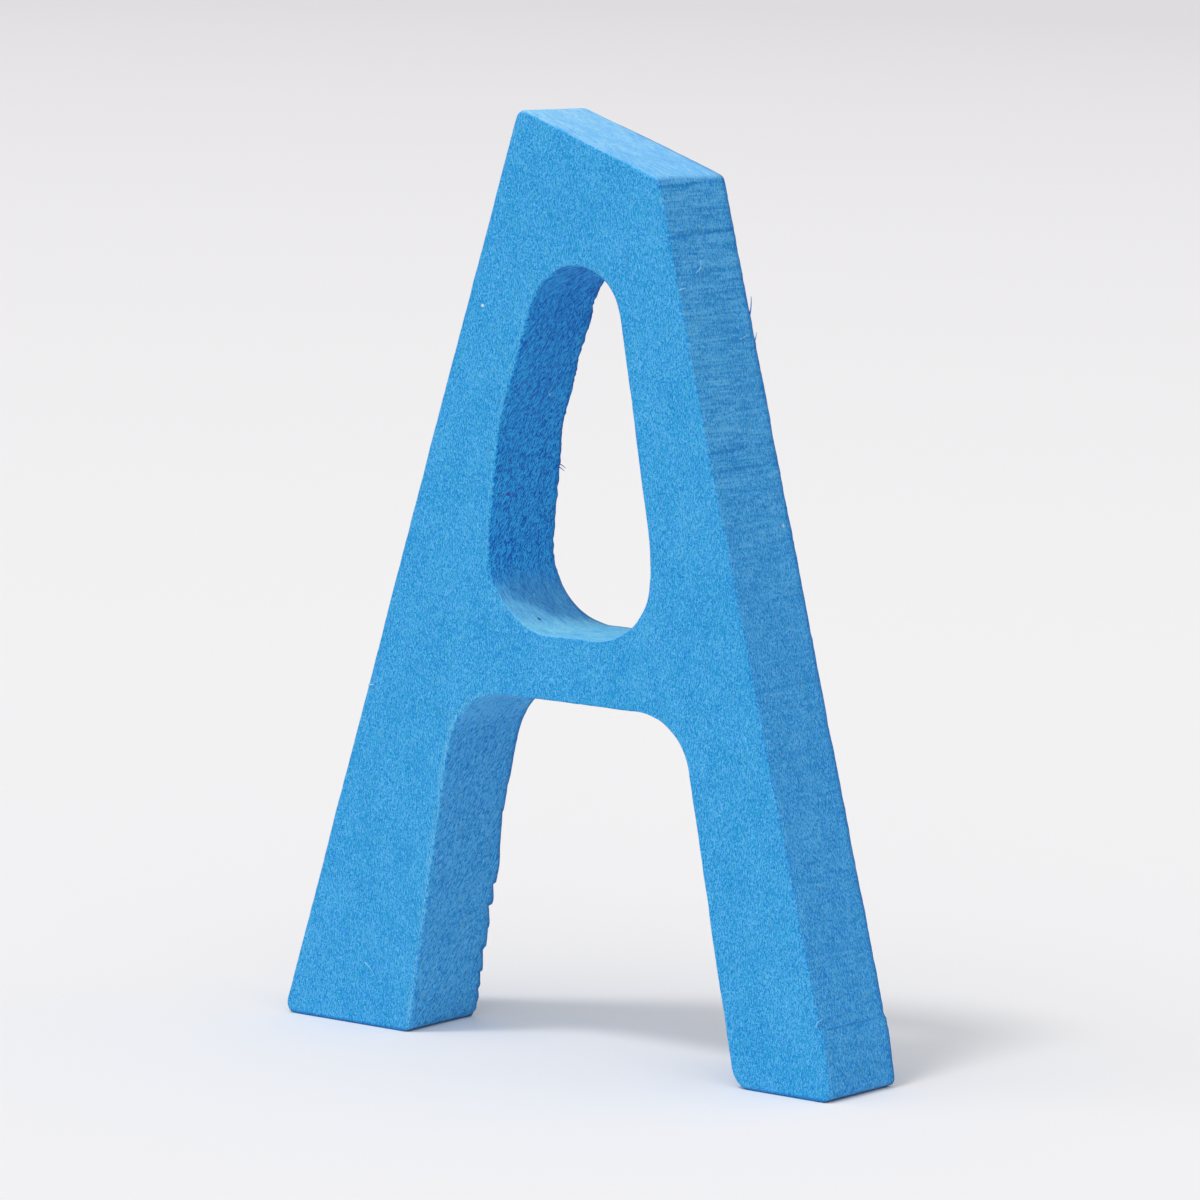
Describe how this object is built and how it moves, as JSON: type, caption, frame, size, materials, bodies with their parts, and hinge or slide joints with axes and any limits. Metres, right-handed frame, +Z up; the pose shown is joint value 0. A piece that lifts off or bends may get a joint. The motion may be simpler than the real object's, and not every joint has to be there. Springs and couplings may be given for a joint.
{
  "type": "wooden letter",
  "caption": "Freestanding wooden toy letter A in blue stain, sawn from one board, with a rounded hole above its crossbar and a round-cornered arch between its legs.",
  "frame": {"origin": "on the standing surface, under the middle of the letter's box, half way through the board's thickness", "axes": "+Z up along the letter's height, the front of the letter faces -Y, +X to the reader's right"},
  "size_m": [0.0456, 0.008, 0.064],
  "materials": {
    "stained_wood": "matt blue stain soaked into sanded wood, with the grain and saw marks showing"
  },
  "bodies": {
    "root": {"letter": "stained_wood"}
  },
  "joints": []
}
